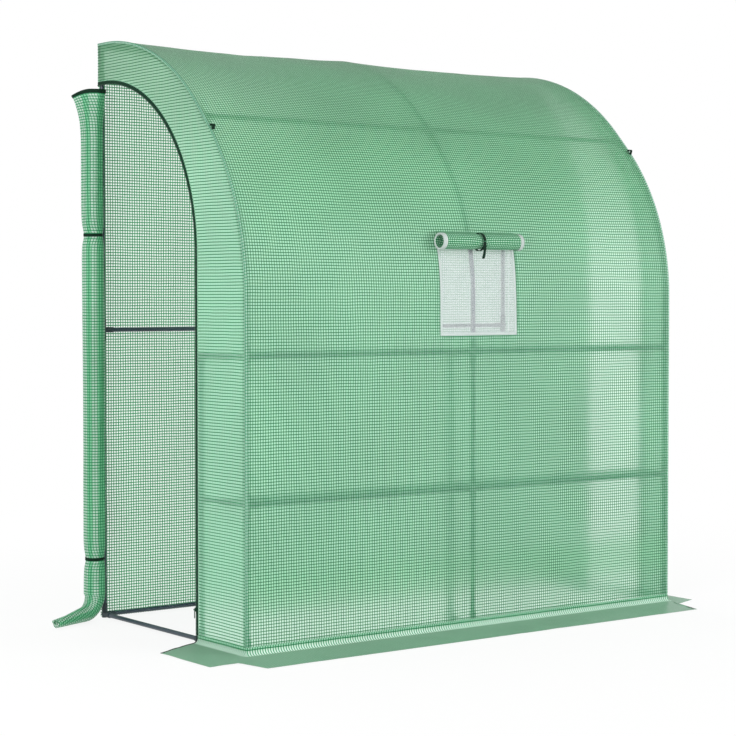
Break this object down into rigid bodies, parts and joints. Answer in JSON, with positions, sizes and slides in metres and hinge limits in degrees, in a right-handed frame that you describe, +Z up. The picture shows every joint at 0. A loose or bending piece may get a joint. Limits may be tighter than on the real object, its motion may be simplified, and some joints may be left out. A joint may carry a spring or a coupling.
{
  "type": "walk-in lean-to greenhouse",
  "caption": "Walk-in lean-to greenhouse with a curved tube frame, a grid film cover with zipped doors, a rolled window flap, wire shelves and a ground skirt.",
  "frame": {"origin": "on the ground, in the middle of the area that the whole greenhouse covers, skirt and door roll included", "axes": "+X along the length towards the end whose door stands ajar, +Y from the curved front to the tall back, +Z up"},
  "size_m": [2.3556, 1.225, 2.15],
  "materials": {
    "tube_steel": "satin",
    "joint_plastic": "matte",
    "shelf_wire": "satin",
    "grid_film": "semi-gloss",
    "net": "matte",
    "border_tape": "matte",
    "dark_webbing": "matte",
    "slider_plastic": "gloss"
  },
  "bodies": {
    "frame": {"front_post_lower": "tube_steel", "front_post_upper": "tube_steel", "hoop_bend_lower": "tube_steel", "hoop_bend_upper": "tube_steel", "back_post_upper": "tube_steel", "back_post_lower": "tube_steel", "front_floor_rails": "tube_steel", "lower_tier_front_rails": "tube_steel", "upper_tier_front_rails": "tube_steel", "lower_tier_rear_rails": "tube_steel", "upper_tier_rear_rails": "tube_steel", "roof_rails": "tube_steel", "ridge_rails": "tube_steel", "back_middle_rails": "tube_steel", "back_floor_rails": "tube_steel", "left_end_floor_rails": "tube_steel", "right_end_floor_rails": "tube_steel", "middle_floor_bar": "tube_steel", "left_jamb_post": "tube_steel", "middle_shelf_leg": "tube_steel", "right_jamb_post": "tube_steel", "left_shelf_side_bars": "tube_steel", "middle_shelf_side_bars": "tube_steel", "right_shelf_side_bars": "tube_steel", "front_feet": "joint_plastic", "back_feet": "joint_plastic", "upright_feet": "joint_plastic", "front_tier_joints": "joint_plastic", "rear_tier_joints": "joint_plastic", "left_bar_tees": "joint_plastic", "left_jamb_joints": "joint_plastic", "roof_rail_joints": "joint_plastic", "ridge_joints": "joint_plastic", "back_middle_joints": "joint_plastic", "left_lower_wire_shelf": "shelf_wire", "right_lower_wire_shelf": "shelf_wire", "left_upper_wire_shelf": "shelf_wire", "right_upper_wire_shelf": "shelf_wire", "front_roof_sheet": "grid_film", "back_sheet": "grid_film", "left_end_sheet": "grid_film", "right_end_sheet": "grid_film", "ground_skirt": "grid_film", "window_net": "net", "window_border": "border_tape", "left_zip": "dark_webbing", "right_zip": "dark_webbing", "guy_loops": "dark_webbing"},
    "right_door": {"right_door": "grid_film", "right_door_zip": "dark_webbing"},
    "left_door": {"left_door_roll": "grid_film", "left_door_ties": "dark_webbing"},
    "window_flap": {"window_flap": "grid_film", "window_flap_tie": "dark_webbing"},
    "left_zip_slider": {"left_zip_slider": "slider_plastic"},
    "left_zip_pull": {"left_zip_pull": "slider_plastic"},
    "right_zip_slider": {"right_zip_slider": "slider_plastic"},
    "right_zip_pull": {"right_zip_pull": "slider_plastic"}
  },
  "joints": [
    {"name": "right_door_swing", "type": "hinge", "parent": "frame", "child": "right_door", "pos_m": [1.08218, 0.5745, 1], "axis": [0, 0, 1], "range_deg": [-55, 120]},
    {"name": "left_door_swing", "type": "hinge", "parent": "frame", "child": "left_door", "pos_m": [-0.92002, 0.61, 1], "axis": [0, 0, 1], "range_deg": [-45, 10]},
    {"name": "window_flap_swing", "type": "hinge", "parent": "frame", "child": "window_flap", "pos_m": [0.09578, -0.35673, 1.44465], "axis": [-1, 0, 0], "range_deg": [0, 100]},
    {"name": "left_zip_run", "type": "slide", "parent": "frame", "child": "left_zip_slider", "axis": [0, 0, 1], "range_m": [0, 1.2]},
    {"name": "left_pull_swing", "type": "hinge", "parent": "left_zip_slider", "child": "left_zip_pull", "pos_m": [-0.92382, -0.0696, 0.117], "axis": [0, 1, 0], "range_deg": [0, 150]},
    {"name": "right_zip_run", "type": "slide", "parent": "frame", "child": "right_zip_slider", "axis": [0, 0, 1], "range_m": [0, 1.12]},
    {"name": "right_pull_swing", "type": "hinge", "parent": "right_zip_slider", "child": "right_zip_pull", "pos_m": [1.08938, -0.2326, 0.117], "axis": [0, -1, 0], "range_deg": [0, 150]}
  ]
}
